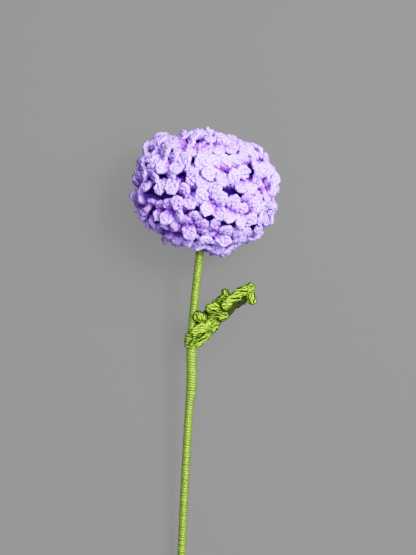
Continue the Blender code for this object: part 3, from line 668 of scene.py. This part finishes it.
# leaf: fat stitches of green yarn on both sides of a midrib, tied to the stem by a collar of turns
leaf = {
    # each plump stitch: middle u v w, half length, half width, half thickness, heading in degrees, painted shade
    "stitches": [
        (-0.0022, 0.0616, 0.0036, 0.0038, 0.0033, 0.0027, -25, 0.15),
        (0.0055, 0.0670, 0.0036, 0.0040, 0.0032, 0.0028, 12, 0.0),
        (0.0092, 0.0712, 0.0018, 0.0046, 0.0024, 0.0020, 35, 0.40),
        (0.0134, 0.0750, 0.0014, 0.0032, 0.0026, 0.0020, -60, 0.35),
        (0.0139, 0.0691, 0.0034, 0.0034, 0.0029, 0.0027, 30, 0.0),
        (0.0182, 0.0732, 0.0034, 0.0052, 0.0031, 0.0027, 28, 0.0),
        (0.0226, 0.0767, 0.0024, 0.0048, 0.0029, 0.0027, 24, 0.0),
        (0.0274, 0.0783, 0.0010, 0.0036, 0.0031, 0.0027, 45, 0.05),
        (0.0287, 0.0730, -0.0004, 0.0038, 0.0029, 0.0025, -70, 0.05),
        (0.0118, 0.0622, 0.0014, 0.0030, 0.0027, 0.0024, 25, 0.15),
        (0.0072, 0.0630, 0.0026, 0.0046, 0.0025, 0.0020, 30, 0.35),
        (0.0036, 0.0594, 0.0030, 0.0042, 0.0025, 0.0020, 35, 0.25),
        (0.0064, 0.0560, 0.0026, 0.0038, 0.0029, 0.0026, 55, 0.20),
        (-0.0028, 0.0540, 0.0038, 0.0052, 0.0034, 0.0027, 38, 0.05),
        (0.0014, 0.0556, 0.0040, 0.0040, 0.0022, 0.0022, 50, 0.0),
        (0.0000, 0.0484, 0.0026, 0.0064, 0.0023, 0.0021, 42, 0.05),
        (-0.0064, 0.0470, 0.0032, 0.0034, 0.0022, 0.0020, 60, 0.35),
        (-0.0096, 0.0476, 0.0012, 0.0024, 0.0017, 0.0018, 80, 0.35),
        # the last one, flat and painted near black, stands for the shaded hollow under the band: painted shade
        (0.0208, 0.0704, -0.0018, 0.0060, 0.0030, 0.0016, 30, 1.3)],
    "midrib": [(-0.0060, 0.0490, 0.0012), (-0.0010, 0.0560, 0.0030), (0.0065, 0.0625, 0.0032),
               (0.0145, 0.0680, 0.0026), (0.0215, 0.0728, 0.0016), (0.0275, 0.0762, -0.0008)],
    # the strands of a stitch: radius, distance apart in radii, points, the length over which they weave in and out
    "seed": 11, "strand": 0.00052, "apart": 1.9, "strandSteps": 26, "weave": 0.0034, "sides": 7,
    "squareness": 2.8, "turnOver": 0.9, "endGap": 0.10, "weaveDepth": 0.15,
    # how much they vary: in reach, in the weave's start, in distance apart, sideways, in thickness
    "reachNoise": 0.07, "weaveNoise": 1.2, "apartNoise": 0.3, "wander": 0.12, "thickNoise": 0.12,
    # their painted shade: how much the strands under the weave and the low side of a stitch add, its random noise
    # and its limits
    "weaveShade": 0.24, "lowShade": 0.85, "shadeNoise": 0.15, "shadeLimits": (-0.4, 1.2),
    # colour, with painted light and shade: reach at a strand's middle, how much paler its crest is painted, how much
    # the painted shade takes off, and the share of it as tone
    "middleReach": 0.42, "crestReach": 0.48, "shadeReach": 0.8, "toneShare": 0.35,
    # the parallel yarns under the stitches: length, points, the low reach that paints them near black as painted
    # shade under the stitches, and each one's offset across, drop and radius
    "webLength": 0.036, "webSteps": 40, "webShadeReach": 0.16,
    "webYarns": [(-0.0048, 0.0024, 0.0013), (-0.0028, 0.0024, 0.0013), (-0.0009, 0.0024, 0.0013),
                 (0.0009, 0.0024, 0.0013), (0.0028, 0.0024, 0.0013), (0.0048, 0.0024, 0.0013),
                 (0.0, 0.0002, 0.0008)],
    "collar": {"low": 0.0436, "high": 0.0512, "pitch": 0.0016, "radius": 0.0042, "halfWidth": 0.00085,
               "halfThick": 0.00075, "stepsPerTurn": 18, "sides": 7, "phase": 0.6, "bulge": 0.0},
    # the collar is painted darker than the stitches, as painted shade where it meets the stem
    "collarShade": 0.6,
}


def leafStitches():
    # a stitch is a skein of side-by-side strands: |x / a|^n + r^n = 1 gives x and r,
    # then y = b r cos p and z = c r sin p
    rng = np.random.default_rng(leaf["seed"])
    power = 2 / leaf["squareness"]
    centres, normals, stitchShades = [], [], []
    for u, v, w, a, b, c, heading, shade in leaf["stitches"]:
        b, c = b - leaf["strand"], c - leaf["strand"]
        around = math.pi * (1.5 * (b + c) - math.sqrt(b * c))
        count = round(around / (leaf["apart"] * leaf["strand"]))
        number = np.arange(count)[:, None]
        t = np.linspace(leaf["endGap"], math.pi - leaf["endGap"], leaf["strandSteps"])[None]
        x = -a * np.sign(np.cos(t)) * np.abs(np.cos(t)) ** power
        r = np.sin(t) ** power * (1 + leaf["reachNoise"] * rng.uniform(-1, 1, (count, 1)))
        weaveStart = math.pi * number
        weaveJitter = leaf["weaveNoise"] * rng.uniform(-1, 1, (count, 1))
        weave = np.sin(2 * math.pi * x / leaf["weave"] + weaveStart + weaveJitter)
        r = r * (1 + leaf["weaveDepth"] * weave * np.sin(t))
        p = 2 * math.pi * (number + leaf["apartNoise"] * rng.uniform(-1, 1, (count, 1))) / count
        p = p + leaf["turnOver"] * x / a
        p = p + leaf["wander"] * np.sin(3 * t + 6.28 * rng.uniform(0, 1, (count, 1)))
        y, z = b * r * np.cos(p), c * r * np.sin(p)
        cosine, sine = math.cos(math.radians(heading)), math.sin(math.radians(heading))
        centres.append(np.stack([u + x * cosine - y * sine, v + x * sine + y * cosine, w + z], axis=-1))
        ny, nz = np.cos(p) / b, np.sin(p) / c
        normals.append(unit(np.stack([-ny * sine, ny * cosine, nz], axis=-1)))
        # painted shade: darker on the strands that dip under the weave and on the low side of each stitch
        lowSideShade = (1 - np.clip(np.sin(p) * r, 0, 1)) ** 1.5
        stitchShades.append(shade - leaf["weaveShade"] * weave + leaf["lowShade"] * lowSideShade)
    centres, normals, stitchShades = np.concatenate(centres), np.concatenate(normals), np.concatenate(stitchShades)
    thick = leaf["strand"] * (1 + leaf["thickNoise"] * rng.uniform(-1, 1, (len(centres), 1)))
    rings = yarnTubes(centres, normals, thick, leaf["sides"])
    # reach paints each strand paler on its crest and darker where the painted shade is; tone carries the same shade
    raised = np.sum((rings - centres[:, :, None]) * normals[:, :, None], axis=-1) / leaf["strand"]
    uneven = leaf["shadeNoise"] * rng.uniform(-1, 1, (len(centres), 1, 1))
    shade = np.clip(stitchShades[:, :, None] + uneven, *leaf["shadeLimits"])
    reach = (leaf["middleReach"] + leaf["crestReach"] * raised) * (1 - leaf["shadeReach"] * shade)
    return toFloor(rings), np.clip(reach, 0, 1), np.clip(leaf["toneShare"] * shade[..., 0], 0, 1)


def foundationStrands():
    # parallel yarns under the stitches: midrib + offset across it * (1 - |2 s - 1|^3), closing towards both ends
    midrib = alongLine(smoothLine(leaf["midrib"], 10), np.linspace(0, leaf["webLength"], leaf["webSteps"]))
    ahead = unit(np.gradient(midrib, axis=0))
    across = unit(np.cross(np.array([0.0, 0.0, 1.0]), ahead))
    s = np.linspace(0, 1, len(midrib))
    closing = (1 - np.abs(2 * s - 1) ** 3)[None, :, None]
    offset, drop, radius = np.array(leaf["webYarns"]).T[..., None]
    centres = midrib[None] + across[None] * offset[..., None] * closing
    centres[..., 2] -= drop
    return toFloor(yarnTubes(centres, np.broadcast_to([0.0, 0.0, 1.0], centres.shape), radius, leaf["sides"]))


stitchRings, stitchReach, stitchPaintedShade = leafStitches()
stitches = yarnMesh("leafStitches", stitchRings, {"reach": stitchReach, "tone": stitchPaintedShade})
webRings = foundationStrands()
webShape = webRings.shape[:2]
web = yarnMesh("leafFoundation", webRings, {"reach": np.full(webShape, leaf["webShadeReach"]), "tone": np.zeros(webShape)})
collarRings, collarReach = windingRound(leaf["collar"], rng)
collarShade = np.full(collarRings.shape[:2], leaf["collarShade"])
collar = yarnMesh("leafCollar", collarRings, {"reach": collarReach, "tone": collarShade})
for piece in (stitches, collar, web):
    piece.data.materials.append(leafCotton)
    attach(piece, "root")
    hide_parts("leaf")

for nodeName in ("stem_wire", "leaf_wire"):
    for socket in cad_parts[nodeName].material_slots:
        socket.material = steelWire
print("leaf stitched,", len(stitchRings), "strands")

# floor, lights, camera
room = {
    # the paper: its own colour is dark and most of its grey is an even glow, because that keeps the flower's
    # shadow as weak as the photo's. A real sheet is pale and doesn't glow
    "paper": "#202020", "paperGlow": "#fcfffd", "glowStrength": 0.19, "halfSize": 4.0,
    # the picture: its height in pixels, metres in a pixel, its middle and the spot of u = v = 0 in pixels
    "height": 555, "pixel": 0.0006, "pictureMiddle": (207.5, 277.5), "originPixel": (203.0, 419.5), "distance": 0.90,
    # the lamps: place u v w, size, power, colour, all aimed at one spot near the head
    "aim": (0.0, 0.13, 0.0),
    "lamps": {"keySoftbox": ((0.36, 0.40, 1.00), 1.10, 31.0, (1.0, 0.99, 0.98)),
              "keyLamp": ((0.44, 0.36, 0.97), 0.30, 17.0, (1.0, 0.99, 0.98)),
              "fillPanel": ((-0.5, -0.3, 1.1), 0.9, 0.4, (1.0, 1.0, 1.0))},
    # light from the room's walls, left to right
    "walls": "#dcdcdf", "wallLeft": 0.18, "wallRight": 0.85, "wallEdge": 0.6,
    # the camera's response, and the amounts of light at which its curve has a point
    "exposure": 1.5, "fullLight": 4.0, "curveAt": (0.25, 0.5, 0.8, 1.2, 1.7, 2.3, 3.0),
}


def placeInRoom(u, v, w):
    # a spot of the flower's own plane, as a place in the room
    return Vector(toFloor(np.array([u, v, w], float)))


def softLight(name, where, aim, size, power, colour):
    # a round soft lamp, turned so that its own -Z points at what it lights
    light = bpy.data.lights.new(name, "AREA")
    light.shape, light.size, light.energy, light.color = "DISK", size, power, colour
    obj = bpy.data.objects.new(name, light)
    bpy.context.scene.collection.objects.link(obj)
    obj.location = where
    obj.rotation_euler = (aim - where).to_track_quat("-Z", "Y").to_euler()


half = room["halfSize"]
floorMesh = bpy.data.meshes.new("floor")
floorMesh.from_pydata([(-half, -half, 0), (half, -half, 0), (half, half, 0), (-half, half, 0)], [], [(0, 1, 2, 3)])
floor = bpy.data.objects.new("floor", floorMesh)
bpy.context.scene.collection.objects.link(floor)
paper, tree = newMaterial("glowingSeamlessPaper")
# the paper glows though it is no lamp: painted light that lifts its grey and weakens the flower's shadow
shader = addNode(tree, "ShaderNodeBsdfPrincipled",
                 {"Base Color": linear(room["paper"]), "Roughness": 0.9, "Specular IOR Level": 0.2,
                  "Emission Color": linear(room["paperGlow"]), "Emission Strength": room["glowStrength"]})
addNode(tree, "ShaderNodeOutputMaterial", links={0: shader.outputs[0]})
floorMesh.materials.append(paper)

for name, (where, size, power, colour) in room["lamps"].items():
    softLight(name, placeInRoom(*where), placeInRoom(*room["aim"]), size, power, colour)
world = bpy.data.worlds.new("room")
world.use_nodes = True
bpy.context.scene.world = world

# the room is dark on the left of the table and bright on the right: strength rises with the direction's own x
tree = world.node_tree
way = addNode(tree, "ShaderNodeTexCoord")
wayParts = addNode(tree, "ShaderNodeSeparateXYZ", links={0: way.outputs["Generated"]})
glow = addNode(tree, "ShaderNodeMapRange",
               {"From Min": -room["wallEdge"], "From Max": room["wallEdge"],
                "To Min": room["wallLeft"], "To Max": room["wallRight"]},
               {"Value": wayParts.outputs[0]})
glow.interpolation_type = "SMOOTHSTEP"
tree.nodes["Background"].inputs["Color"].default_value = linear(room["walls"])
tree.links.new(glow.outputs[0], tree.nodes["Background"].inputs["Strength"])

# the camera looks square at the flower's plane, so the photo's pixels map to u and v
lens = bpy.data.cameras.new("camera")
camera = bpy.data.objects.new("camera", lens)
bpy.context.scene.collection.objects.link(camera)
middleU = (room["pictureMiddle"][0] - room["originPixel"][0]) * room["pixel"]
middleV = (room["originPixel"][1] - room["pictureMiddle"][1]) * room["pixel"]
camera.location = placeInRoom(middleU, middleV, room["distance"])
camera.rotation_euler = (stemTilt, 0.0, 0.0)
lens.sensor_fit = "VERTICAL"
lens.angle = 2 * math.atan(room["height"] * room["pixel"] / 2 / room["distance"])
lens.clip_start = 0.01
bpy.context.scene.camera = camera
# the camera's response: output = 1 - e^(-exposure light), so bright parts close up as on film and never burn out
response = bpy.context.scene.view_settings
response.view_transform = "Standard"
response.use_curve_mapping = True
response.curve_mapping.white_level = (room["fullLight"],) * 3
master = response.curve_mapping.curves[3]
for light in room["curveAt"]:
    master.points.new(light / room["fullLight"], 1 - math.exp(-room["exposure"] * light))
master.points[len(master.points) - 1].location = (1.0, 1 - math.exp(-room["exposure"] * room["fullLight"]))
response.curve_mapping.update()
